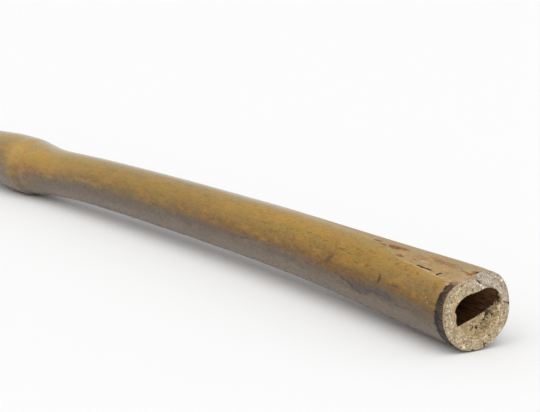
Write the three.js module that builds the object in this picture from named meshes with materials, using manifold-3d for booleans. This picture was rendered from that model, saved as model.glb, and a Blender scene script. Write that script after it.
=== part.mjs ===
// A length of bamboo cane, sawn at both ends and lying on its side. Millimetres, +Z up.
// It grew as one piece: a hollow culm with one ring-shaped node and its cross wall, and at the thick
// sawn end what the saw left of the next cross wall, a web with a D-shaped mouth above a straight edge.
// +X points to the thick end. The origin is under the middle of the cane, on the surface it lies on.
import * as THREE from 'three';
import { mergeVertices } from 'three/addons/utils/BufferGeometryUtils.js';
import Module from 'manifold-3d';

// Length, and where the node sits, as distances along the cane from its thick sawn end.
const LENGTH = 600;
const NODE_AT = 282;
const SCAR_AT = 2.6; // sheath scar, a shallow ring just behind the thick end
const GROOVE_AT = 274; // sheath groove of the node
const RIDGE_AT = 278.5; // its raised lip

// Skin radii.
const FIRST_R = [10.0, 9.6]; // first internode, from the thick end to the node
const SECOND_R = [10.3, 10.0]; // second internode, from the node to the thin end
const END_FLARE = 0.095; // share of the radius that the thick end gains
const END_FLARE_REACH = 41;
const NODE_SWELL = 2.55;
const NODE_REACH = [16.7, 33.3]; // how far the swelling reaches before and after the node
const SCAR_DEPTH = 0.25;
const GROOVE_DEPTH = 0.3;
const RIDGE_HEIGHT = 0.12;

// Hollow inside.
const BORE_SHARE = 0.65; // bore radius over skin radius, which leaves a wall of about a sixth
const CROSS_WALL = 5; // thickness of the node's cross wall
const BORE_ROUNDING = 6; // the bore narrows over this length towards the cross wall

// Web across the thick end's mouth: a thin plate with a D-shaped hole above its straight edge.
const WEB_FRONT = 0.5; // set back from the sawn face
const WEB_BACK = 2.3;
const WEB_ROOT = 0.7; // how far the plate runs into the wall
const WEB_TILT = 21.8; // the straight edge's angle to the horizontal, in degrees
const WEB_EDGE_OFFSET = -0.2; // the straight edge from the bore's centre
const MOUTH_HALF_WIDTH = 6.8;
const MOUTH_HEIGHT = 6.3;

// The centreline's course: distance along the cane, heading to the side and pitch, in degrees. Each
// internode bows a little the same way, and the node turns the cane back between them.
const COURSE = [
  [0, 5.36, 1.68],
  [274, -1.9, -0.94],
  [290, -0.45, 1.34],
  [LENGTH, -2.49, -2.33],
];

// The thick end is slightly out of round: harmonics as [turns, cosine share, sine share].
const OUT_OF_ROUND = [
  [2, 0.02, 0.048],
  [3, -0.015, 0.0125],
];
const OUT_OF_ROUND_REACH = 80;

const SIDES = 36; // flats around the cane
const { degToRad, lerp } = THREE.MathUtils;
const bell = (distance, reach) => Math.exp(-((distance / reach) ** 2));

function skinRadius(s) {
  const beyond = s > NODE_AT;
  const first = lerp(FIRST_R[0], FIRST_R[1], Math.min(s / NODE_AT, 1));
  const second = lerp(SECOND_R[0], SECOND_R[1], Math.max((s - NODE_AT) / (LENGTH - NODE_AT), 0));
  const culm = lerp(first, second, 1 / (1 + Math.exp((NODE_AT - s) / 6)));
  const swelling = NODE_SWELL * bell(s - NODE_AT, NODE_REACH[beyond ? 1 : 0]);
  const groove = GROOVE_DEPTH * bell(s - GROOVE_AT, 1.6);
  const ridge = RIDGE_HEIGHT * bell(s - RIDGE_AT, 2);
  const scar = SCAR_DEPTH * bell(s - SCAR_AT, 1);
  return culm * (1 + END_FLARE * bell(s, END_FLARE_REACH)) + swelling - groove + ridge - scar;
}

// The bore follows the culm but not the node's swelling.
function boreRadius(s) {
  const culm = s < NODE_AT ? lerp(FIRST_R[0], FIRST_R[1], s / NODE_AT) : SECOND_R[1];
  const flare = 1 + END_FLARE * bell(s, END_FLARE_REACH);
  return culm * flare * BORE_SHARE;
}

function steps(from, to, count) {
  return Array.from({ length: count + 1 }, (_, i) => lerp(from, to, i / count));
}

// Half section, turned about the axis: out along the node's cross wall, back through the first bore to
// the thick end, along the skin to the thin end, and in again through the second bore.
function profile() {
  const wallFace = [NODE_AT - CROSS_WALL / 2, NODE_AT + CROSS_WALL / 2];
  const skin = [
    ...[0, 1.4, SCAR_AT, 3.8, 8, 15, 23, 33],
    ...steps(45, 245, 8),
    ...[254, 261, 267, 271.5, GROOVE_AT, 276, RIDGE_AT, NODE_AT, 287, 294, 302, 311, 321, 333],
    ...steps(350, LENGTH, 8),
  ];
  const firstBore = [...steps(wallFace[0] - BORE_ROUNDING, 30, 9), 12, 0];
  const secondBore = steps(LENGTH, wallFace[1] + BORE_ROUNDING, 9);
  const rounded = 0.72; // the bore's radius at the cross wall, over its full radius
  return [
    [0, wallFace[0]],
    [boreRadius(wallFace[0]) * rounded, wallFace[0]],
    ...firstBore.map((s) => [boreRadius(s), s]),
    ...skin.map((s) => [skinRadius(s), s]),
    ...secondBore.map((s) => [boreRadius(s), s]),
    [boreRadius(wallFace[1]) * rounded, wallFace[1]],
    [0, wallFace[1]],
  ].map(([radius, s]) => new THREE.Vector2(radius, s));
}

// The straight cane has the thick end's face at z = 0, seen from +z, and runs back along -z.
function straightCane() {
  return new THREE.LatheGeometry(profile(), SIDES).rotateX(-Math.PI / 2);
}

function web() {
  const plate = new THREE.Shape();
  plate.absarc(0, 0, boreRadius(0) + WEB_ROOT, 0, 2 * Math.PI);
  const w = MOUTH_HALF_WIDTH;
  const h = MOUTH_HEIGHT;
  const mouth = new THREE.Path();
  mouth.moveTo(-w, 0);
  mouth.lineTo(w, 0);
  mouth.bezierCurveTo(w, 0.72 * h, 0.75 * w, 0.9 * h, 0.35 * w, 0.92 * h);
  mouth.bezierCurveTo(0, 0.95 * h, -0.2 * w, h, -0.4 * w, h);
  mouth.bezierCurveTo(-0.85 * w, h, -w, 0.6 * h, -w, 0);
  plate.holes.push(mouth);
  const depth = WEB_BACK - WEB_FRONT;
  const solid = new THREE.ExtrudeGeometry(plate, { depth, bevelEnabled: false, curveSegments: 9 });
  return solid.translate(0, WEB_EDGE_OFFSET, -WEB_BACK).rotateZ(degToRad(WEB_TILT));
}

const wasm = await Module();
wasm.setup();

function toManifold(geometry) {
  geometry.deleteAttribute('normal');
  geometry.deleteAttribute('uv');
  const merged = mergeVertices(geometry, 1e-4);
  const index = merged.index.array;
  const corners = [];
  for (let i = 0; i < index.length; i += 3) {
    const [a, b, c] = index.slice(i, i + 3);
    if (a !== b && b !== c && c !== a) corners.push(a, b, c);
  }
  const vertProperties = merged.attributes.position.array;
  return new wasm.Manifold(new wasm.Mesh({ numProp: 3, vertProperties, triVerts: new Uint32Array(corners) }));
}

// Where the centreline is at a distance s along the cane, and which way it runs there.
function station(s) {
  const at = new THREE.Vector3(-s, 0, 0);
  for (let i = 1; i < COURSE.length; i += 1) {
    const [from, heading, pitch] = COURSE[i - 1];
    const [to, nextHeading, nextPitch] = COURSE[i];
    const run = Math.min(Math.max(s, from), to) - from;
    const part = run / (to - from);
    const turned = Math.tan(degToRad(lerp(heading, nextHeading, part)));
    const tipped = Math.tan(degToRad(lerp(pitch, nextPitch, part)));
    at.y += (run * (Math.tan(degToRad(heading)) + turned)) / 2;
    at.z += (run * (Math.tan(degToRad(pitch)) + tipped)) / 2;
    if (s <= to) {
      const along = new THREE.Vector3(-1, turned, tipped).normalize();
      const side = new THREE.Vector3(turned, 1, 0).normalize();
      return { at, side, up: side.clone().cross(along) };
    }
  }
  throw new Error('the station is beyond the cane');
}

function outOfRound(angle, s) {
  const share = (sum, [turns, c, d]) => sum + c * Math.cos(turns * angle) + d * Math.sin(turns * angle);
  return 1 + OUT_OF_ROUND.reduce(share, 0) * bell(s, OUT_OF_ROUND_REACH);
}

// Lays the straight cane along its course: its x becomes sideways, its y up and its -z the distance s.
function bent(mesh) {
  const position = mesh.vertProperties.slice();
  const point = new THREE.Vector3();
  for (let i = 0; i < position.length; i += mesh.numProp) {
    const [x, y, z] = position.slice(i, i + 3);
    const s = Math.min(Math.max(-z, 0), LENGTH);
    const { at, side, up } = station(s);
    const round = outOfRound(Math.atan2(y, x), s);
    point.copy(at).addScaledVector(side, x * round).addScaledVector(up, y * round).toArray(position, i);
  }
  const geometry = new THREE.BufferGeometry();
  geometry.setAttribute('position', new THREE.BufferAttribute(position, mesh.numProp));
  geometry.setIndex(new THREE.BufferAttribute(mesh.triVerts.slice(), 1));
  return geometry;
}

function caneGeometry() {
  const whole = toManifold(straightCane()).add(toManifold(web()));
  const geometry = bent(whole.getMesh());
  geometry.computeBoundingBox();
  const { min, max } = geometry.boundingBox;
  geometry.translate(-(min.x + max.x) / 2, -(min.y + max.y) / 2, -min.z);
  geometry.computeVertexNormals();
  return geometry;
}

const bamboo = new THREE.MeshStandardMaterial({ color: 0xa68d5a, roughness: 0.45, metalness: 0 });
const cane = new THREE.Mesh(caneGeometry(), bamboo);
cane.name = 'cane';

const bambooCane = new THREE.Group();
bambooCane.add(cane);

export default bambooCane;
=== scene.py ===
# The looks of a length of bamboo cane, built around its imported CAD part. Metres, +Z up, and +X
# points to the thick sawn end.
import math

import bpy
import numpy as np
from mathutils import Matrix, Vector


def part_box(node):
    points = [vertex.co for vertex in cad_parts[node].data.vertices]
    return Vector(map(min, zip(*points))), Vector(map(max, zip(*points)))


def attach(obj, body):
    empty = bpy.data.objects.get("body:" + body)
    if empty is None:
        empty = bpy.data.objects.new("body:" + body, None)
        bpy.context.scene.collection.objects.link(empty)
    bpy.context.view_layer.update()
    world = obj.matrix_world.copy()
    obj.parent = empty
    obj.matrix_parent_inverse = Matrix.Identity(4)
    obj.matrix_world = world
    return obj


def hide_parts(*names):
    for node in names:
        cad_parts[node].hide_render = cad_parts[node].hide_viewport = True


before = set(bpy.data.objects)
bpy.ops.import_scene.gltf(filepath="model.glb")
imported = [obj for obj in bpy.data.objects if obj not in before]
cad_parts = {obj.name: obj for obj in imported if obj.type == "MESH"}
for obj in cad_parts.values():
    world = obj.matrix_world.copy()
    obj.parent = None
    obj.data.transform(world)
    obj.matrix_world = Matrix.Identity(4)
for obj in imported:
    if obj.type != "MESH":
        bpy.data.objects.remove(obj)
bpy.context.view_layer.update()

# ---- Where it is seen from
# A camera with a mildly long lens stands low in front of the thick sawn end, on the side that the cane
# bows away from, and looks back along the culm.
LOOK_AT = Vector((0.18676, 0.0097388, 0.0202064))
VIEW_AZIMUTH = math.radians(53.7268)
VIEW_ELEVATION = math.radians(11.0466)
VIEW_DISTANCE = 0.4427732
SENSOR_WIDTH = 36  # of the camera, mm
LENS = 86.6667

back = Vector((
    math.sin(VIEW_AZIMUTH) * math.cos(VIEW_ELEVATION),
    -math.cos(VIEW_AZIMUTH) * math.cos(VIEW_ELEVATION),
    math.sin(VIEW_ELEVATION),
))
camera = bpy.data.objects.new("camera", bpy.data.cameras.new("camera"))
camera.data.sensor_width = SENSOR_WIDTH
camera.data.lens = LENS
camera.data.clip_start = 0.01
camera.location = LOOK_AT + back * VIEW_DISTANCE
camera.rotation_euler = back.to_track_quat("Z", "Y").to_euler()
bpy.context.scene.collection.objects.link(camera)
bpy.context.scene.camera = camera

# ---- The culm's course
# A culm grows upwards in straight-grained lengths and turns a little at each node, so the cut cane
# bows gently. Every ring of its surface is laid square to this course; lengths along it are in mm.
LENGTH = 600
NODE_AT = 282
COURSE_STEP = 0.25
# The middle of the thick end's face, from the top end, the middle and the bottom of the cane's box.
THICK_END_IN_FROM_TIP = 1.1247
MIDDLE_TO_THICK_END = -4.6570
THICK_END_HEIGHT = 10.8629
# Distance along, heading to the side and pitch, in degrees.
COURSE = [(0, 5.36, 1.68), (274, -1.9, -0.94), (290, -0.45, 1.34), (LENGTH, -2.49, -2.33)]
# Distance along, and how much higher than its course and how much fatter the culm grew there.
GROWTH = [
    (0, 0.14, 0.15), (40, 0.05, 0.09), (100, 0.12, 0.02), (160, -0.14, 0), (220, 0.05, -0.07),
    (262, -0.25, 0.05), (284, -0.11, -0.02), (310, 0.13, -0.12), (370, 0.02, 0.01), (460, 0, 0),
    (LENGTH, 0, 0),
]
ROUND = 232  # points in each ring

low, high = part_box("cane")
thick_end = np.array([
    high.x * 1000 - THICK_END_IN_FROM_TIP,
    (low.y + high.y) * 500 + MIDDLE_TO_THICK_END,
    low.z * 1000 + THICK_END_HEIGHT,
])
turn = np.arange(ROUND) * 2 * np.pi / ROUND  # 0 is the far side, a quarter turn is the top
turned = np.degrees(turn)
course_at = np.linspace(0, LENGTH, round(LENGTH / COURSE_STEP) + 1)
heading = np.tan(np.radians(np.interp(course_at, *np.transpose(COURSE)[[0, 1]])))
pitch = np.tan(np.radians(np.interp(course_at, *np.transpose(COURSE)[[0, 2]])))


def summed(slope):
    """The height that a slope has gained at each step of the course."""
    steps = np.diff(course_at) * (slope[1:] + slope[:-1]) / 2
    return np.concatenate([[0], np.cumsum(steps)])


def eased(at, table, column):
    """A value read from a table's column, eased from row to row."""
    knots, values = np.transpose(table)[[0, column]]
    row = np.clip(np.searchsorted(knots, at) - 1, 0, len(knots) - 2)
    part = np.clip((at - knots[row]) / (knots[row + 1] - knots[row]), 0, 1)
    part = part * part * (3 - 2 * part)
    return values[row] * (1 - part) + values[row + 1] * part


def bell(off, reach):
    """1 where off is 0, fading to nearly 0 at twice the reach."""
    return np.exp(-((off / reach) ** 2))


def lobe(at, reach):
    """A bell around the cane, in degrees, that carries on over the start of the turn."""
    return bell(np.mod(turned - at + 180, 360) - 180, reach)


def laid(x, y, s):
    """Points given in the straight cane, x to the far side, y up and s along, laid on its course."""
    tipped = [np.interp(s, course_at, slope) for slope in (heading, pitch)]
    along = np.stack([-np.ones_like(s), *tipped], -1)
    along /= np.linalg.norm(along, axis=-1, keepdims=True)
    side = np.stack([tipped[0], np.ones_like(s), np.zeros_like(s)], -1)
    side /= np.linalg.norm(side, axis=-1, keepdims=True)
    up = np.cross(side, along)
    sway = [np.interp(s, course_at, summed(slope)) for slope in (heading, pitch)]
    centre = thick_end + np.stack([-s, *sway], -1)
    lift = y + eased(s, GROWTH, 1)
    return (centre + side * x[..., None] + up * lift[..., None]) / 1000


UNEVEN_CELLS = 32  # the relief repeats after this many lumps
UNEVEN_START = 100


def uneven(x, y, s, size, seed):
    """Smooth random relief between -1 and 1, with lumps about as large as size."""
    table = np.random.default_rng(seed).uniform(-1, 1, (UNEVEN_CELLS,) * 3)
    place = np.stack(np.broadcast_arrays(x, y, s), -1) / size + UNEVEN_START
    corner = np.floor(place).astype(int)
    part = place - corner
    part = part * part * (3 - 2 * part)
    total = 0
    for i in (0, 1):
        for j in (0, 1):
            for k in (0, 1):
                near = np.abs(np.array([1 - i, 1 - j, 1 - k]) - part).prod(-1)
                cell = np.moveaxis((corner + [i, j, k]) % UNEVEN_CELLS, -1, 0)
                total = total + near * table[tuple(cell)]
    return total


# Rings are collected in order, from the node's cross wall out through the mouth, over the sawn face,
# along the skin, and in again at the thin end. Each one says which finish the band after it has.
rings = []


def add_ring(x, y, s, finish):
    x, y, s = np.broadcast_arrays(np.asarray(x, float), np.asarray(y, float), np.asarray(s, float))
    rings.append((x + 0 * turn, y + 0 * turn, s + 0 * turn, finish))


# ---- The skin
# The culm's hard outer wall. It flares towards the thick end, where the saw went close to a node, and
# swells at its own node, with a groove where the sheath sat and a rounded lip beyond it.
FIRST_RADIUS = (10, 9.6)  # first internode, from the thick end to the node
SECOND_RADIUS = (10.3, 10)  # second internode, from the node to the thin end
INTERNODE_BLEND = 6
END_FLARE = 0.095  # share of the radius that the thick end gains
END_FLARE_REACH = 41
NODE_SWELL = 2.55
NODE_REACH = (16.7, 33.3)  # how far the swelling reaches before and after the node
SCAR_AT = 2.2
GROOVE_AT = 274
GROOVE_DEPTH = 0.42
LIP_AT = 278.5
LIP_HEIGHT = 0.24
# Angle in degrees and radius of the sawn rim, which is out of round and worn flat on top.
RIM = [
    (8, 11.28), (28, 11.6), (42, 11.85), (55, 11.73), (68, 11.42), (82, 10.85),
    (97, 10.2), (112, 9.95), (124, 10.26), (134, 10.64), (144, 11.1), (152, 11.37), (162, 11.48),
    (173, 11.53), (185, 11.5), (197, 11.57), (209, 11.5), (224, 11.34), (240, 11.2), (254, 10.95),
    (268, 10.7), (283, 10.65), (300, 10.58), (316, 10.65), (328, 10.95), (340, 11.21), (352, 11.18),
]
RIM_REACH = 75
SAW_TILT = (0.0128, -0.0676)  # how far the saw leaned, to the side and up


def culm_radius(s):
    first = np.interp(s, (0, NODE_AT), FIRST_RADIUS)
    second = np.interp(s, (NODE_AT, LENGTH), SECOND_RADIUS)
    culm = first + (second - first) / (1 + np.exp((NODE_AT - s) / INTERNODE_BLEND))
    swelling = NODE_SWELL * bell(s - NODE_AT, np.where(s > NODE_AT, NODE_REACH[1], NODE_REACH[0]))
    return culm * (1 + END_FLARE * bell(s, END_FLARE_REACH)) + swelling + eased(s, GROWTH, 2)


rim = np.interp(turned, *np.transpose(RIM), period=360)
rim = np.mean([np.roll(rim, k) for k in range(-5, 6)], axis=0)  # its corners rounded off
rim_share = rim / culm_radius(np.zeros(1)) - 1

BEVEL = 0.65  # rubbed off the rim on top
bevel = BEVEL * lobe(104, 15)


def sawn_rim(x, y):
    """How far along the leaning saw cut lies at a place across the cane."""
    return x * -SAW_TILT[0] - y * SAW_TILT[1]


def sawn(x, y, s):
    """The saw leaned a little, so the thick end's rings lean with it."""
    return s + sawn_rim(x, y) * bell(s, 9)


def skin_ring(s):
    radius = culm_radius(np.full(ROUND, float(s))) * (1 + rim_share * bell(s, RIM_REACH))
    x, y = radius * np.cos(turn), radius * np.sin(turn)
    ragged = uneven(x, y, 0, 1.1, 3)
    scar = bell(s - SCAR_AT - 0.5 * ragged, 1.1) * (0.2 + 0.08 * uneven(x, y, s, 0.6, 4))
    scar_shows = np.clip(1.2 - 1.2 * lobe(100.27, 31.51), 0, 1)
    worn = lobe(110.01, 14.9) * bell(s - 18, 26)
    beside_top = 1 - 0.95 * lobe(76, 36)  # the node's ring is faint on top
    relief = (
        0.04 * uneven(x, y, s / 25, 1.3, 1)
        + 0.008 * uneven(x, y, s / 18, 0.55, 2)
        + 0.09 * uneven(x / 9, y / 9, s / 30, 1, 5)
        - 0.1 * worn * (1 + 0.7 * uneven(x, y, s / 3, 0.9, 6))
        - scar * scar_shows
        - GROOVE_DEPTH * beside_top * bell(s - GROOVE_AT - 0.6 * uneven(x / 8, y / 8, 0, 1, 7), 2.3)
        + LIP_HEIGHT * beside_top * bell(s - LIP_AT, 2.6)
        - 0.07 * bell(s - 0.05, 0.25)
        - bevel * bell(s, 1.9)
    )
    radius = radius + relief
    x, y = radius * np.cos(turn), radius * np.sin(turn)
    add_ring(x, y, sawn(x, y, s), "skin")


class Wire:
    """A socket in a finish. Sums on it add Math nodes, and node() adds any other node."""

    def __init__(self, tree, socket=None):
        self.tree, self.socket = tree, socket

    def node(self, kind, settings=None, sockets=None, out=0):
        made = self.tree.nodes.new("ShaderNode" + kind)
        for name, value in (settings or {}).items():
            if name == "stops":
                ramp = made.color_ramp
                while len(ramp.elements) < len(value):
                    ramp.elements.new(0.5)
                for element, (position, colour) in zip(ramp.elements, value):
                    element.position, element.color = position, colour
            else:
                setattr(made, name, value)
        for name, value in (sockets or {}).items():
            if isinstance(value, Wire):
                self.tree.links.new(value.socket, made.inputs[name])
            else:
                made.inputs[name].default_value = value
        return Wire(self.tree, made.outputs[out])

    def math(self, operation, *terms):
        return self.node("Math", {"operation": operation}, dict(enumerate(terms)))

    def __add__(self, other):
        return self.math("ADD", self, other)

    def __sub__(self, other):
        return self.math("SUBTRACT", self, other)

    def __rsub__(self, other):
        return self.math("SUBTRACT", other, self)

    def __mul__(self, other):
        return self.math("MULTIPLY", self, other)

    def __truediv__(self, other):
        return self.math("DIVIDE", self, other)

    def __abs__(self):
        return self.math("ABSOLUTE", self)

    __radd__ = __add__
    __rmul__ = __mul__


def distance(across, up):
    """How far a place is from the middle, given how far across and up it is."""
    return across.math("SQRT", across * across + up * up)


def between(wire, first, last):
    """0 at first and 1 at last, eased; first may be the larger."""
    return wire.node("MapRange", {"interpolation_type": "SMOOTHSTEP"}, {0: wire, 1: first, 2: last})


def tint(code):
    """A colour from its hex code, as the shader wants it."""
    parts = [int(code[i:i + 2], 16) / 255 for i in (0, 2, 4)]
    return (*[p / 12.92 if p < 0.04045 else ((p + 0.055) / 1.055) ** 2.4 for p in parts], 1)


def blend(mask, first, second):
    return mask.node("Mix", {"data_type": "RGBA"}, {0: mask, 6: first, 7: second}, out=2)


def shaded(colour, shade):
    """A colour made lighter or darker, where shade is above or below 1."""
    settings = {"data_type": "RGBA", "blend_type": "MULTIPLY"}
    return colour.node("Mix", settings, {0: 1.0, 6: colour, 7: shade}, out=2)


def speckle(place, size, stretch=1, detail=3.0, seed=0.0, rough=0.5):
    """Cloudy noise on the straight cane, size in mm, drawn out along the grain."""
    scale = (1 / size, 1 / size, 1 / size / stretch)
    moved = place.node("Mapping", {}, {0: place, 1: (seed, seed, seed), 3: scale})
    return place.node("TexNoise", {}, {"Vector": moved, "Scale": 1.0, "Detail": detail, "Roughness": rough})


def new_finish(name):
    material = bpy.data.materials.new(name)
    material.use_nodes = True
    shader = material.node_tree.nodes["Principled BSDF"]
    wire = Wire(material.node_tree)
    place = wire.node("Attribute", {"attribute_name": "straight"}, out=1)
    parts = [place.node("SeparateXYZ", {}, {0: place}, out=i) for i in range(3)]
    return material, shader, place, parts


def apply_finish(shader, colour, roughness, relief, strength, depth):
    normal = colour.node("Bump", {}, {"Strength": strength, "Distance": depth, "Height": relief})
    for socket, wire in (("Base Color", colour), ("Roughness", roughness), ("Normal", normal)):
        colour.tree.links.new(wire.socket, shader.inputs[socket])


# The rind is waxy, straw to ochre on top and browner down the side, stained grey-brown below. Painted light
# is mixed into these colours round the cane: greyer right on top as a painted reflection, the darkening down
# the side partly painted shade, darkest in a band at the side as painted shade, and lighter again below as
# painted light from the floor.
skin, shader, place, (x, y, s) = new_finish("bamboo_skin")
shader.inputs["IOR"].default_value = 1.5
shader.inputs["Specular IOR Level"].default_value = 0.2
around = x.math("ARCTAN2", x * -1, y) * (180 / math.pi)  # degrees down from the top, to the near side
broad = speckle(place, 8, 4, 3, 1)
patchy = speckle(place, 3.0, 2.6, 4, 2, 0.6)
mottle = speckle(place, 1.3, 1.5, 4, 5, 0.65)
streak = speckle(place, 0.6, 12, 3, 3)
fine = speckle(place, 0.35, 2.2, 3, 4, 0.6)

# Degrees down from the top and the colour there: the rind's own tones with the painted reflection, painted
# shade and painted floor light folded in.
DOWN_THE_SIDE = [
    (0, "A28E66"), (10, "A18648"), (34, "A38238"), (50, "9A7A3A"), (64, "8E6D35"), (79, "785A2B"),
    (89, "66523A"), (101, "6A5C4C"), (122, "78695A"), (160, "807266"),
]
down = abs(around)
drift = down + (broad - 0.5) * 34 + (patchy - 0.5) * 26 + (mottle - 0.5) * 14
node_side = between(s, 222, 262) * between(s, 288, 280)
drift = drift - node_side * 13 + between(s, 284, 292) * 14
stops = [(angle / 160, tint(code)) for angle, code in DOWN_THE_SIDE]
colour = drift.node("ValToRGB", {"stops": stops}, {0: drift / 160})
# The grey-brown lower side: a real stain, with painted shade along its upper edge and painted floor light
# below it.
stain_and_shade_below = between(drift, 80, 92)
olive_side = between(drift, 60, 76) * between(drift, 102, 86) * between(s, 100, 190)
colour = blend(olive_side * 0.5, colour, tint("786842"))
colour = blend(between(patchy, 0.47, 0.62) * 0.5 * (1 - stain_and_shade_below), colour, tint("A9792C"))
colour = blend(between(mottle, 0.48, 0.64) * 0.5 * (1 - stain_and_shade_below), colour, tint("75632E"))
colour = blend(between(mottle, 0.5, 0.64) * 0.45 * stain_and_shade_below, colour, tint("463B35"))
colour = blend(between(patchy, 0.52, 0.36) * 0.4 * stain_and_shade_below, colour, tint("8A7A68"))

freckles = speckle(place, 1.0, 1.8, 2, 6, 0.8)
freckled = between(freckles, 0.57, 0.66) * between(s, 150, 45)
freckled = freckled * between(down, 12, 35) * between(broad, 0.4, 0.52)
colour = blend(freckled * 0.6, colour, tint("5E4824"))

# Ochre and brown clouds: how far along and around, half lengths, tint and amount.
CLOUDS = [
    (92, 24, 30, 15, "AE8028", 0.55), (62, 29, 14, 12, "AA7B2B", 0.5), (48, 44, 16, 14, "9C742C", 0.5),
    (150, 22, 50, 13, "A27E36", 0.3), (60, 82, 24, 10, "7A5426", 0.5), (120, 78, 40, 9, "7E5A30", 0.4),
    # Painted light at the node: the pale band at 277 along is a painted highlight on the lip, and the narrow
    # darker band at 272 is painted shade at the groove.
    (268, 30, 9, 34, "A98A54", 0.4), (277, 48, 4.5, 42, "B8955E", 0.35),
    (272, 108, 17, 26, "7C6548", 0.65), (272, 62, 2.2, 45, "966A34", 0.35),
    (262, 84, 18, 12, "84593A", 0.4), (12, 34, 8, 18, "AE9062", 0.45), (1, 26, 5, 46, "BCA07C", 0.8),
    (16, 60, 14, 16, "8C7448", 0.4), (58, 60, 6, 9, "76592A", 0.4), (40, 98, 10, 10, "483E3B", 0.75),
    (27, 95, 9, 8, "473E40", 0.65), (82, 97, 14, 6, "5A4F48", 0.5), (130, 93, 26, 6, "5C5048", 0.45),
    (195, 90, 30, 6, "5E544C", 0.4), (238, 104, 36, 22, "5C5044", 0.5), (283, 106, 5, 12, "64543F", 0.5),
    (46, 86, 14, 13, "6A4E22", 0.4),
]
for along, at, long, wide, code, amount in CLOUDS:
    off_s, off_a = (s - along) / long, (around - at) / wide
    far = distance(off_s, off_a) + (patchy - 0.5) * 1.5 + (mottle - 0.5) * 0.7
    colour = blend(between(far, 1.3, 0.3) * amount, colour, tint(code))

# Painted reflection: a pale grey tint on top, on the far side, where the rind isn't worn.
painted_top_reflection = between(around, 5, -7) * between(around, -50, -24) * between(s, 74, 112)
colour = blend(painted_top_reflection * 0.5, colour, tint("A29A94"))

# Worn on top, from the thick end to where the wear's lower edge crosses over the top.
WEAR_REACH = 90
WEAR_EDGE = [
    (0, 39), (7, 38), (12, 36), (16, 34), (28, 30), (38.5, 11), (50, 3), (64, -6), (81, -9), (90, -40),
]
stops = [(along / WEAR_REACH, (at / 100 + 0.5,) * 3 + (1,)) for along, at in WEAR_EDGE]
wear_edge = (s.node("ValToRGB", {"stops": stops}, {0: s / WEAR_REACH}) - 0.5) * 100
past_edge = around - wear_edge + (mottle - 0.5) * 9 + (patchy - 0.5) * 8
worn = between(past_edge, 3, -4) * between(around, -46, -24) * between(s, WEAR_REACH, 70)
colour = blend(worn * 0.62, colour, tint("AC8F68"))
colour = blend(worn * between(mottle, 0.5, 0.66) * 0.5, colour, tint("8A6844"))
edge_line = between(abs(past_edge), 3.2, 0.6) * between(s, 60, 38)
colour = blend(edge_line * between(patchy, 0.42, 0.58) * 0.55, colour, tint("BFA070"))

# Patches, scratches and nicks: along, around, half lengths, lean (mm per degree), tint, amount.
MARKS = [
    (36, 4, 3.0, 5.0, 0, "7C4C1A", 0.95), (31.8, 1.5, 2.0, 3.8, 0, "8A5320", 0.9),
    (30, 21, 1.5, 3.0, 0, "865020", 0.9), (41, 7, 1.8, 2.0, 0, "74441C", 0.7),
    (12.5, 3, 5.2, 5.0, 0, "8C5C28", 0.6), (17.5, 0, 3.2, 3.6, 0, "905F2C", 0.55),
    (22, 7, 4.0, 3, 0, "9A6C3A", 0.45), (44.6, 1, 1.8, 2.4, 0, "74441C", 0.85),
    (26, 12, 3.4, 3, 0, "A0764A", 0.4), (19.0, 28.6, 1.2, 1.3, 0, "1E1812", 1),
    (17.3, 30.0, 1.2, 1.7, 0.3, "1E1812", 1), (15.6, 29.6, 1.0, 2.1, 0.2, "1C1610", 1),
    (14.4, 30.2, 0.6, 1.5, 0.2, "241C14", 0.9), (10.3, 31.6, 0.55, 4.6, 0.06, "1E1812", 1),
    (23.8, 18, 1, 0.9, 0, "3E3022", 0.85),
    (8.3, 23, 0.9, 0.8, 0, "5A4733", 0.7), (1.9, 4.0, 0.5, 7.5, 0.1, "6F4A26", 0.75),
    (1.1, -3.5, 0.6, 2.3, 0.12, "1E1008", 0.95), (2.1, -1, 0.9, 3.0, 0.12, "5F3E1F", 0.6),
    (3.9, 7.5, 2.4, 1.5, 0, "7A5634", 0.6), (20.2, 16.5, 1.6, 1.8, 0, "B0A79C", 0.55),
    (18.4, 15, 0.6, 0.7, 0, "CDC5B8", 0.6), (7.2, 79, 0.2, 0.8, 0, "CCC0AA", 0.75),
    (8.3, 73, 0.18, 0.7, 0, "BFB297", 0.6), (9.6, 70, 0.16, 0.6, 0, "B8AA8C", 0.5),
    (55.7, 72.4, 1.2, 6.4, 0.18, "4E3A1C", 0.5), (59, 70, 1.4, 2.4, 0, "5C4622", 0.35),
    (30, 73.7, 0.62, 6.6, 0, "43311A", 0.75), (23.2, 75.2, 2.2, 1.7, 0.1, "523F24", 0.55),
    (45, 39.6, 2.0, 1.5, 0, "60491F", 0.35), (37.5, 61.4, 1.1, 2.8, 0.15, "523E1E", 0.45),
    (52.6, 49.7, 1.8, 1.8, 0.3, "523D1C", 0.4), (48, 52, 1.2, 1.4, 0, "5A4420", 0.35),
    (27, 40, 0.9, 2.2, 0, "5E4826", 0.45), (34, 48, 1.2, 1.2, 0, "664E28", 0.35),
    (62, 45, 1.8, 1.4, 0, "5E4620", 0.3), (43, 63, 1.6, 1.6, 0, "58421F", 0.4),
    (104, 90, 2.4, 2.4, 0, "4A4240", 0.4), (88, 60, 2.0, 2.4, 0, "6C5228", 0.3),
    (130, 52, 2.4, 2.4, 0, "6E552C", 0.25), (160, 60, 3.0, 2.8, 0, "6A522E", 0.25),
    (50.6, 91.5, 1.7, 2.0, 0, "5A3E26", 0.6), (47.6, 95, 1.2, 3.4, -0.2, "3E322A", 0.6),
    (43.4, 100, 0.9, 5.4, -0.35, "3A3030", 0.65), (39.8, 107, 1.1, 4.2, -0.3, "40342E", 0.55),
    (45.8, 102, 0.7, 4.6, -0.3, "8C7C6A", 0.45), (35.6, 103, 0.8, 4.6, 0.25, "463A34", 0.5),
    (31, 96, 1.6, 2.4, 0, "453C3A", 0.5),
]
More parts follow.
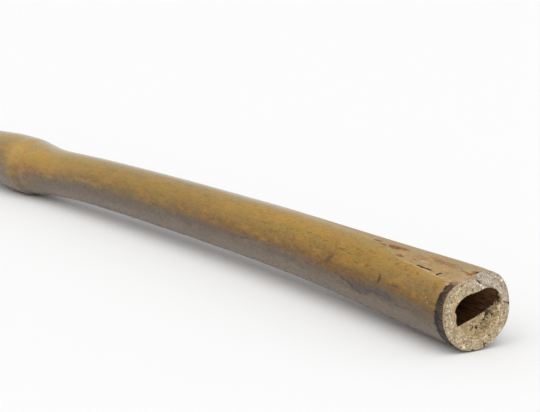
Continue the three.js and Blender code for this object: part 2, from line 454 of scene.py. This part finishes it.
ragged = (mottle - 0.5) * 1.3 + (fine - 0.5) * 1.3 - 0.12
for along, at, long, wide, lean, code, amount in MARKS:
    off_a = around - at
    off_s, off_a = (s - along - off_a * lean) / long, off_a / wide
    far = distance(off_s, off_a) + ragged
    colour = blend(between(far, 1.15, 0.7) * amount, colour, tint(code))

# The scar of the sheath: a dark ring just behind the sawn rim, worn off on top.
height = y / distance(x, y)  # 1 on top of the cane and -1 underneath
scar_from = s - 0.9 + between(height, 0.4, -0.2) * 1.8 + (mottle - 0.5) * 1.2
scar_to = s - 3.6 + (mottle - 0.5) * 2.2 + (fine - 0.5) * 0.8
scar = between(scar_from, -0.25, 0.3) * between(scar_to, 0.35, -0.25) * between(height, 0.88, 0.7)
scar_tint = blend(between(height, 0.75, 0.4), tint("432718"), tint("1C1816"))
scar_tint = blend(between(height, 0.05, -0.35) * 0.8, scar_tint, tint("302E34"))
scar_tint = blend(between(mottle, 0.52, 0.62) * 0.65, scar_tint, tint("523A28"))
scar_tint = blend(between(fine, 0.54, 0.66) * 0.6, scar_tint, tint("7C664C"))
scar_tint = blend(between(mottle, 0.46, 0.36) * 0.8, scar_tint, tint("181310"))
colour = blend(scar * 0.95, colour, scar_tint)
rim_wear = between(s - sawn_rim(x, y), 1.1, 0.15) * (1 - scar) * between(mottle, 0.42, 0.55)
colour = blend(rim_wear * 0.45, colour, tint("7C5A3C"))

shade = 0.99 + (patchy - 0.5) * 0.5 + (broad - 0.5) * 0.2 + (mottle - 0.5) * 1.2
shade = shade + (streak - 0.5) * 0.35 + (fine - 0.5) * 0.8
shade = shade + between(s, 225, 268) * between(s, 292, 282) * 0.1
shade = shade - between(s, 118, 150) * between(s, 232, 205) * 0.09
colour = shaded(colour, shade)
roughness = 0.22 + (patchy - 0.5) * 0.16 + worn * 0.22 + scar * 0.28 + stain_and_shade_below * 0.05
relief = streak * 0.35 + fine * 0.2 + mottle * 0.5
apply_finish(shader, colour, roughness, relief, 0.16, 0.00012)


# ---- The hollow and the web across its mouth
# The culm is hollow between its nodes, with a soft brown lining. The saw left part of the next cross
# wall standing in the mouth: a thin pithy web, straight on top, with splinters where it tore.
BORE_SHARE = 0.65
CROSS_WALL = 5
WEB_BACK = 2.3
UNDERCUT = 1.1  # how far the web's straight edge leans in behind
# Centre and outline of the opening that the web leaves, going round from its low corner.
OPENING_CENTRE = np.array([0.3, 1.7])
OPENING = np.array([
    (-6.35, -3.45), (-6.95, -1.9), (-6.7, -0.5), (-7.3, 0.75), (-6.95, 1.84), (-5.95, 2.95),
    (-4.7, 4.0), (-3.5, 4.6), (-1.75, 5.0), (0.55, 5.25), (1.77, 5.75), (3.68, 5.95), (5.4, 5.8),
    (7.2, 5.05), (8.0, 4.1), (8.1, 3.2), (8.45, 2.5), (8.1, 1.9), (8.3, 1.3), (7.3, 0.45), (6.6, 0.75),
    (5.9, 0.1), (5.2, 0.25), (3.1, -0.55), (0.46, -1.4), (-2.25, -2.2), (-4.4, -2.85),
])


def bore_radius(s):
    """The hollow follows the culm but not the node's swelling."""
    culm = np.interp(s, (0, NODE_AT), FIRST_RADIUS) if s < NODE_AT else SECOND_RADIUS[1]
    return culm * (1 + END_FLARE * bell(s, END_FLARE_REACH)) * BORE_SHARE


def closed_outline(points, centre, angles):
    """How far a closed outline lies from its centre, at each angle."""
    points = np.concatenate([points, points[:1]])
    fine = np.concatenate([np.linspace(a, b, 24, endpoint=False) for a, b in zip(points[:-1], points[1:])])
    off = fine - centre
    around = np.mod(np.arctan2(off[:, 1], off[:, 0]), 2 * np.pi)
    order = np.argsort(around)
    around, reach = around[order], np.hypot(*off.T)[order]
    return np.interp(angles, np.r_[around - 2 * np.pi, around, around + 2 * np.pi], np.tile(reach, 3))


bore_rim = 7.25 + 1.45 * lobe(20, 34) + 0.4 * lobe(170, 24)
opening_reach = closed_outline(OPENING, OPENING_CENTRE, turn)
opening = np.stack([np.cos(turn), np.sin(turn)]) * opening_reach + OPENING_CENTRE[:, None]
edge = np.stack([np.cos(turn), np.sin(turn)]) * bore_rim
low_side = np.clip(0.5 - np.sin(turn + 0.25) * 2.2, 0, 1)  # the web stands in the lower part only
torn = lobe(-4, 22)


def bore_ring(s):
    radius = bore_radius(s)
    at_mouth = bell(s - WEB_BACK, 5)
    radius = radius + (bore_rim - radius) * at_mouth
    radius = radius + 0.12 * uneven(np.cos(turn) * 7, np.sin(turn) * 7, s / 9, 0.8, 11)
    x, y = radius * np.cos(turn), radius * np.sin(turn)
    add_ring(x, y, sawn(x, y, np.full(ROUND, float(s))), "hollow")


def cross_wall_ring(s, share):
    radius = bore_radius(s) * share
    add_ring(radius * np.cos(turn), radius * np.sin(turn), s, "hollow")


def web_ring(part, depth, finish, undercut=0.0):
    """part 0 is the opening's edge and part 1 is where the web grows out of the wall."""
    x, y = opening * (1 - part) + edge * part
    y = y - undercut * low_side * (1 - part)
    fray = 0.14 + 0.35 * torn
    push = (1 - part) ** 3 * fray * uneven(x * 1.3, y * 1.3, depth * 1.2, 0.7, 12)
    x, y = x + push * np.cos(turn), y + push * np.sin(turn)
    add_ring(x, y, sawn(x, y, depth + 0 * turn), finish)


PITS = [
    (5.1, -0.8, 0.6), (3.75, -1.7, 0.5), (3.0, -2.5, 0.4), (0.3, -4.6, 0.45), (-0.9, -4.4, 0.4),
    (-1.5, -5.0, 0.35), (1.9, -3.7, 0.35), (4.3, -7.4, 0.3), (6.4, 0.3, 0.5), (4.4, 0.0, 0.35),
    (5.6, -2.0, 0.35),
]


def web_depth(part):
    """How far the web's front lies behind the sawn face: crumbly towards the torn end."""
    x, y = opening * (1 - part) + edge * part
    step = low_side * np.clip((1 - part) / 0.12, 0, 1)
    crumbly = np.clip((x + 1.5) / 4, 0, 1) * step
    pits = sum(bell(np.hypot(x - a, y - b), r) for a, b, r in PITS)
    return (
        0.18 * step + 0.06 * uneven(x, y, 0, 0.9, 13) + 0.1
        + crumbly * (0.3 + 0.45 * uneven(x, y, 0, 0.7, 14) + 0.25 * uneven(x, y, 0, 0.35, 15))
        + 0.95 * pits - 0.1 * low_side * bell((part - 0.93) / 0.05, 1)
    )


for share in (0.02, 0.4, 0.72):
    cross_wall_ring(NODE_AT - CROSS_WALL / 2, share)
for s in [273.5, 258, 230, 200, 170, 140, 110, 85, 65, 50, 40, 32, 25, 19, 14, 10, 7, 5, 3.6, 2.7, WEB_BACK]:
    bore_ring(s)
for part in (0.8, 0.6, 0.4, 0.2, 0.08):
    web_ring(part, WEB_BACK, "hollow", UNDERCUT)
web_ring(0, WEB_BACK - 0.15, "hollow", UNDERCUT)
for share in (0.75, 0.5, 0.25, 0.06):
    web_ring(0, web_depth(0) * (1 - share) + WEB_BACK * share, "web", UNDERCUT * share)
for part in [0, 0.02, 0.05, *np.arange(0.09, 0.9, 0.045), 0.92, 0.95, 0.975]:
    web_ring(part, web_depth(part), "front")

# Splinters and crumbs: torn fibres left standing along the web's ragged end, each a bent spike.
SPLINTERS = 16
CRUMBS = 46
SPIKE_SIDES = 6
SPIKE_PART = np.array([0, 0.3, 0.65, 0.9])
SPIKE_WIDTH = np.array([1, 0.85, 0.6, 0.35])
pick = np.random.default_rng(8)
spikes = []


def add_spike(root, heading, length, thick, depth, rise):
    """A six-sided spike with its root cap and tip, as points in the straight cane."""
    bend = pick.uniform(-0.5, 0.5)
    way = heading + bend * SPIKE_PART
    centre = np.stack([
        root[0] + np.cos(way) * length * SPIKE_PART,
        root[1] + np.sin(way) * length * SPIKE_PART,
        depth - rise * SPIKE_PART,
    ], -1)
    roll = np.arange(SPIKE_SIDES) * 2 * np.pi / SPIKE_SIDES
    width = thick * SPIKE_WIDTH[:, None]
    ring_x = centre[:, :1] - np.sin(way)[:, None] * np.cos(roll) * width
    ring_y = centre[:, 1:2] + np.cos(way)[:, None] * np.cos(roll) * width
    ring_s = centre[:, 2:] + np.sin(roll) * width
    tip = centre[-1] + (centre[-1] - centre[-2]) * 0.6
    body = np.stack([ring_x, ring_y, ring_s], -1).reshape(-1, 3)
    spikes.append(np.concatenate([body, [tip]]))


for _ in range(SPLINTERS):
    across = pick.uniform(0, 1)
    root = np.array([4.7 + 3.7 * across, 0.1 + 1.3 * across**2]) + pick.uniform(-0.25, 0.25, 2)
    add_spike(root, math.radians(pick.uniform(70, 190)), pick.uniform(0.5, 1.3), pick.uniform(0.08, 0.17),
              pick.uniform(0.35, 0.9), pick.uniform(-0.3, 0.25))
for _ in range(CRUMBS):
    root = np.array([pick.uniform(1.5, 7.4), pick.uniform(-4.5, 0.6)])
    if root[1] < -0.9 + 0.3 * (root[0] - 1.5):
        add_spike(root, pick.uniform(0, 2 * math.pi), pick.uniform(0.3, 0.75), pick.uniform(0.1, 0.2),
                  pick.uniform(0.35, 0.6), pick.uniform(-0.1, 0.25))


# Web: pith, smooth and olive where the saw slid over it, crumbly and pitted at the torn end.
web, shader, place, (x, y, s) = new_finish("bamboo_web")
flat = x.node("CombineXYZ", {}, {0: x, 1: y, 2: 0.0})
cloud = speckle(flat, 1.5, 1, 4, 11, 0.6)
crumbs = speckle(flat, 0.75, 1, 4, 13, 0.75)
grit = speckle(flat, 0.32, 1, 3, 12, 0.7)
crumbly = between(x - y * 0.3, -3.5, 2.5)
colour = blend(between(cloud, 0.38, 0.62), tint("9B8259"), tint("BCA47B"))
colour = blend(between(cloud, 0.56, 0.68) * 0.4, colour, tint("C4A06C"))
colour = blend(between(cloud, 0.47, 0.36) * 0.45, colour, tint("8F7C62"))
colour = blend(between(crumbs, 0.53, 0.62) * (0.2 + crumbly * 0.75), colour, tint("48341F"))
colour = blend(between(crumbs, 0.46, 0.36) * (0.35 + crumbly * 0.5), colour, tint("E2D0A6"))
colour = blend(between(grit, 0.52, 0.66) * 0.65, colour, tint("6A5436"))
# Painted shade: the web turns deep brown where its front lies further behind the sawn face, in the pits and
# among the crumbs.
painted_recess_shade = between(s - sawn_rim(x, y) + (crumbs - 0.5) * 0.8, 0.6, 1.05)
colour = blend(painted_recess_shade * 0.88, colour, tint("3A2813"))
off_arc = distance(x, y) - 6.95 + (cloud - 0.5) * 1.2
arc = between(abs(off_arc), 0.26, 0.06) * between(y + x * 0.4, 1, -1)
colour = blend(arc * between(crumbs, 0.6, 0.45) * 0.7, colour, tint("D6BE94"))
relief = grit * 0.6 + crumbs * crumbly * 1.5 + cloud * 0.3
apply_finish(shader, colour, 0.75 + (grit - 0.5) * 0.2, relief, 0.7, 0.0003)

# Hollow: a dull brown papery lining with the grain running along it.
hollow, shader, place, _ = new_finish("bamboo_hollow")
lining = speckle(place, 0.5, 12, 4, 21, 0.6)
colour = blend(between(lining, 0.35, 0.65), tint("59391F"), tint("8C6540"))
apply_finish(shader, colour, 0.8 + (lining - 0.5) * 0.1, lining, 0.5, 0.0003)

# ---- The sawn faces
# Both ends are plain cross cuts through the thick wall: a ground of pale pith, darker and denser
# towards the skin, speckled all over with the cut ends of the fibre bundles, and rough from the saw.
CRACKS = [((0.1, 8.5), (1.3, 7.3)), ((2.1, -8.4), (2.7, -10.2)), ((9.2, 1.4), (11.1, 0.8))]


def to_line(x, y, start, end):
    (ax, ay), (bx, by) = start, end
    length = math.hypot(bx - ax, by - ay)
    part = np.clip(((x - ax) * (bx - ax) + (y - ay) * (by - ay)) / length**2, 0, 1)
    return np.hypot(x - ax - part * (bx - ax), y - ay - part * (by - ay))


def thick_face_ring(part):
    x, y = edge * (1 - part) + np.stack([np.cos(turn), np.sin(turn)]) * (rim - bevel) * part
    cracks = sum(bell(to_line(x, y, *crack), 0.16) for crack in CRACKS)
    chips = 0.05 * uneven(x, y, 0, 0.45, 21) + 0.05 * uneven(x, y, 0, 1.2, 22)
    rounding = 0.16 * (bell((1 - part) / 0.03, 1) + 0.5 * low_side * bell(part / 0.04, 1))
    add_ring(x, y, sawn(x, y, chips + rounding + 0.35 * cracks + 0 * turn), "face")


for part in np.concatenate([[0, 0.03, 0.07], np.linspace(0.12, 0.94, 19), [0.965, 0.985]]):
    thick_face_ring(part)

# The skin runs between the two faces, with its rings closest where it has most detail.
near = np.concatenate([[0.12, 0.3, 0.55], np.arange(0.85, 6, 0.32), np.arange(6.2, 45, 0.62)])
middle = [near[-1] + 0.7]
while middle[-1] < 258:
    middle.append(middle[-1] + min(3.2, 0.7 + (middle[-1] - 45) * 0.03))
node = np.arange(260, 300, 0.8)
beyond = np.concatenate([np.arange(301.5, 340, 2.2), np.arange(342, LENGTH - 3, 5.2), [598, 599.3, 599.85]])
for s in [*near, *middle, *node, *beyond]:
    skin_ring(s)

# The thin end, outside and in.
end_radius = culm_radius(np.array([LENGTH]))[0]
for part in [0.985, 0.95, *np.linspace(0.88, 0.1, 9), 0.04, 0]:
    radius = bore_radius(LENGTH) * (1 - part) + end_radius * part
    x, y = radius * np.cos(turn), radius * np.sin(turn)
    rounding = 0.14 * (bell((1 - part) / 0.04, 1) + 0.6 * bell(part / 0.05, 1))
    chips = 0.04 * uneven(x, y, 9, 0.45, 31) + 0.05 * uneven(x, y, 9, 1.2, 32)
    add_ring(x, y, LENGTH - rounding - np.abs(chips), "face")
for s in (599.5, 598, 595, 590, 580, 565, 545, 520, 480, 430, 380, 330, 305, 291):
    bore_ring(s)
for share in (0.72, 0.4, 0.02):
    cross_wall_ring(NODE_AT + CROSS_WALL / 2, share)

# Pale pith, with the dark cut ends of the bundles, crumbs of it smeared by the saw, and grey dirt.
face, shader, place, (x, y, s) = new_finish("bamboo_sawn")
flat = x.node("CombineXYZ", {}, {0: x, 1: y, 2: 0.0})
across = distance(x, y)
cloud = speckle(flat, 2.6, 1, 4, 7, 0.6)
patch = speckle(flat, 1.1, 1, 4, 9, 0.7)
grit = speckle(flat, 0.55, 1, 4, 8, 0.75)
lumps = speckle(flat, 0.9, 1, 5, 14, 0.8)
dust = speckle(flat, 0.22, 1, 2, 10, 0.6)
bundles = flat.node("TexVoronoi", {}, {"Vector": flat, "Scale": 1.9, "Randomness": 1.0})
colour = blend(between(cloud, 0.35, 0.65), tint("A8926E"), tint("BEA984"))
colour = blend(between(patch, 0.53, 0.64) * 0.55, colour, tint("C9A469"))
colour = blend(between(patch, 0.47, 0.37) * 0.5, colour, tint("97897A"))
top_right = between(x * 0.6 + y, 3, 11)
colour = blend(top_right * 0.75, colour, tint("B3AAA1"))
colour = blend(between(grit, 0.52, 0.6) * (0.45 + between(cloud, 0.42, 0.58) * 0.4), colour, tint("6A573E"))
colour = blend(between(grit, 0.47, 0.39) * (0.85 - between(cloud, 0.42, 0.58) * 0.4), colour, tint("E8D9B8"))
colour = blend(between(lumps, 0.55, 0.62) * 0.5, colour, tint("705C42"))
colour = blend(between(lumps, 0.44, 0.37) * 0.5, colour, tint("EBDEC2"))
bundle = between(bundles, 0.3, 0.14) * between(patch, 0.44, 0.56)
colour = blend(bundle * 0.7, colour, tint("5F4F3A"))
colour = blend(between(dust, 0.56, 0.68) * (0.35 + between(across, 8, 10.4) * 0.35), colour, tint("5C4D3A"))
colour = blend(between(dust, 0.42, 0.3) * 0.5, colour, tint("EFE4CC"))
colour = blend(between(across, 10.3, 11.3) * 0.4, colour, tint("84705A"))
# Bright and dark spots: place on the face, size, tint, amount.
SPOTS = [
    (1.2, 6.95, 0.42, "F8F4EC", 1), (2.0, 6.2, 0.3, "EFE7D8", 0.9), (-4.5, -9.2, 0.5, "F6E6C4", 1),
    (-5.0, -9.9, 0.3, "F0DDB4", 0.9), (7.9, -6.3, 0.35, "F0E2C4", 0.9), (8.3, 7.4, 0.4, "EFE4D0", 0.9),
    (6.2, 8.6, 0.3, "E9DEC8", 0.8), (-6.8, 4.3, 0.6, "DCB976", 0.8), (-7.6, 2.9, 0.9, "D2AE70", 0.6),
    (4.2, -7.4, 0.5, "4E3B26", 0.9), (-1.5, -10.7, 0.6, "241C16", 1), (0.2, -10.9, 0.4, "3A2E22", 0.9),
    (2.6, -10.1, 0.35, "3E3020", 0.9), (11.0, 0.8, 0.45, "241C16", 1), (0.6, 7.9, 0.45, "5A4A36", 0.8),
    (2.4, -9.3, 0.35, "55402A", 0.8), (9.4, -1.5, 0.35, "5E4C34", 0.8), (-9.4, -2.0, 0.4, "665236", 0.7),
]
for at_x, at_y, size, code, amount in SPOTS:
    off_x, off_y = (x - at_x) / size, (y - at_y) / size
    far = distance(off_x, off_y) + (grit - 0.5) * 1.6
    colour = blend(between(far, 1.2, 0.7) * amount, colour, tint(code))
for (ax, ay), (bx, by) in CRACKS:
    run, rise = bx - ax, by - ay
    part = ((x - ax) * run + (y - ay) * rise) / (run * run + rise * rise)
    part = part.math("MINIMUM", part.math("MAXIMUM", part, 0), 1)
    off_x, off_y = x - ax - part * run, y - ay - part * rise
    far = distance(off_x, off_y) + (grit - 0.5) * 0.35
    colour = blend(between(far, 0.2, 0.07) * 0.85, colour, tint("332619"))
# Where the web grows out of the wall below, the flat face is painted with a pale line and a darker line
# inside it: a painted highlight for a low ridge and painted shade for a groove.
low_join = between(x * 0.6 - y, 2.5, 6)
off_join = across - 7.9 + (patch - 0.5) * 1.1
groove = between(abs(off_join + 0.36), 0.3, 0.08) * low_join
colour = blend(groove * between(lumps, 0.62, 0.46) * 0.4, colour, tint("78603F"))
ridge = between(abs(off_join), 0.3, 0.08) * low_join
colour = blend(ridge * between(lumps, 0.6, 0.44) * 0.85, colour, tint("E0C9A6"))
dirt = speckle(flat, 1.7, 1, 3, 16, 0.6)
colour = blend(between(dirt, 0.54, 0.64) * 0.5, colour, tint("866F50"))
colour = blend(between(dirt, 0.46, 0.36) * 0.4, colour, tint("DCCDB0"))
holes = speckle(flat, 0.8, 1, 1, 17)
colour = blend(between(holes, 0.64, 0.7) * 0.85, colour, tint("43341F"))
colour = blend(between(holes, 0.34, 0.28) * 0.8, colour, tint("F4EBD8"))
relief = grit * -0.9 - bundle * 0.4 + cloud * 0.3 + dust * 0.3
apply_finish(shader, colour, 0.74 + (grit - 0.5) * 0.2, relief, 0.6, 0.0002)

# ---- The cane's mesh
# The cane grew as one piece, so all the rings join into one closed surface. It starts on one side of the
# node's cross wall and ends on its other side, and the spikes stand in the web as they broke.
FINISHES = ["skin", "face", "web", "hollow", "front"]
straight = np.concatenate([np.stack(ring[:3], -1) for ring in rings] + spikes)
places = laid(*straight.T)
count = len(rings)
start = np.arange(count - 1)[:, None] * ROUND + np.arange(ROUND)
ahead = np.arange(count - 1)[:, None] * ROUND + (np.arange(ROUND) + 1) % ROUND
quads = np.stack([start, start + ROUND, ahead + ROUND, ahead], -1).reshape(-1, 4)
caps = [list(range(ROUND)), list(range((count - 1) * ROUND, count * ROUND))[::-1]]
spike_faces = []
for first in range(count * ROUND, len(straight), len(SPIKE_PART) * SPIKE_SIDES + 1):
    tip = first + len(SPIKE_PART) * SPIKE_SIDES
    spike_faces.append([first + k for k in range(SPIKE_SIDES)])
    for k in range(SPIKE_SIDES):
        then = (k + 1) % SPIKE_SIDES
        for row in range(first, tip - SPIKE_SIDES, SPIKE_SIDES):
            spike_faces.append([row + then, row + k, row + SPIKE_SIDES + k, row + SPIKE_SIDES + then])
        spike_faces.append([tip - SPIKE_SIDES + then, tip - SPIKE_SIDES + k, tip])
mesh = bpy.data.meshes.new("bamboo_cane")
mesh.from_pydata(places.tolist(), [], quads.tolist() + caps + spike_faces)
finish_of_band = np.repeat([FINISHES.index(ring[3]) for ring in rings[:-1]], ROUND)
front = finish_of_band == FINISHES.index("front")
flush = np.tile(low_side < 0.35, count - 1)  # above the opening the saw cut the web flush
finish_of_band[front & flush] = FINISHES.index("face")
finish_of_band[front & ~flush] = FINISHES.index("web")
ends = [FINISHES.index("hollow")] * 2 + [FINISHES.index("face")] * len(spike_faces)
finish_of_band = np.concatenate([finish_of_band, ends]).astype(np.int32)
mesh.polygons.foreach_set("material_index", finish_of_band)
mesh.polygons.foreach_set("use_smooth", np.ones(len(mesh.polygons), bool))
mesh.attributes.new("straight", "FLOAT_VECTOR", "POINT").data.foreach_set("vector", straight.ravel())
cane = bpy.data.objects.new("bamboo_cane", mesh)
bpy.context.scene.collection.objects.link(cane)
for made in (skin, face, web, hollow):
    mesh.materials.append(made)

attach(cane, "root")
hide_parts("cane")

# ---- The studio
# The cane lies on a pale matt floor, under a wide soft lamp that stands a little in front of it. The
# pale room around is bright at eye level and dimmer overhead.
FLOOR_REACH = 6
FLOOR_ROUGHNESS = 0.9
LAMP_POWER = 1.4
LAMP_WIDTH = math.radians(75)
LAMP_FROM = Vector((0.3, -0.35, 1))
ROOM_DIMMER_OVERHEAD = 0.5

floor_mesh = bpy.data.meshes.new("floor")
corners = [(i * FLOOR_REACH, j * FLOOR_REACH, 0) for i, j in ((-1, -1), (1, -1), (1, 1), (-1, 1))]
floor_mesh.from_pydata(corners, [], [(0, 1, 2, 3)])
floor = bpy.data.objects.new("floor", floor_mesh)
floor.location.z = low.z
bpy.context.scene.collection.objects.link(floor)
paper = bpy.data.materials.new("pale_floor")
paper.use_nodes = True
paper.node_tree.nodes["Principled BSDF"].inputs["Base Color"].default_value = tint("F6F6F6")
paper.node_tree.nodes["Principled BSDF"].inputs["Roughness"].default_value = FLOOR_ROUGHNESS
floor_mesh.materials.append(paper)

lamp = bpy.data.objects.new("lamp", bpy.data.lights.new("lamp", "SUN"))
lamp.data.energy = LAMP_POWER
lamp.data.angle = LAMP_WIDTH
lamp.rotation_euler = LAMP_FROM.to_track_quat("Z", "Y").to_euler()
bpy.context.scene.collection.objects.link(lamp)

world = bpy.data.worlds.new("room")
bpy.context.scene.world = world
world.use_nodes = True
sky = Wire(world.node_tree)
upward = sky.node("SeparateXYZ", {}, {0: sky.node("TexCoord")}, out=2)
shade = 1 - upward * ROOM_DIMMER_OVERHEAD
room_light = world.node_tree.nodes["Background"]
room_light.inputs["Color"].default_value = (1, 1, 1, 1)
world.node_tree.links.new(shade.socket, room_light.inputs["Strength"])
bpy.context.scene.view_settings.view_transform = "Standard"
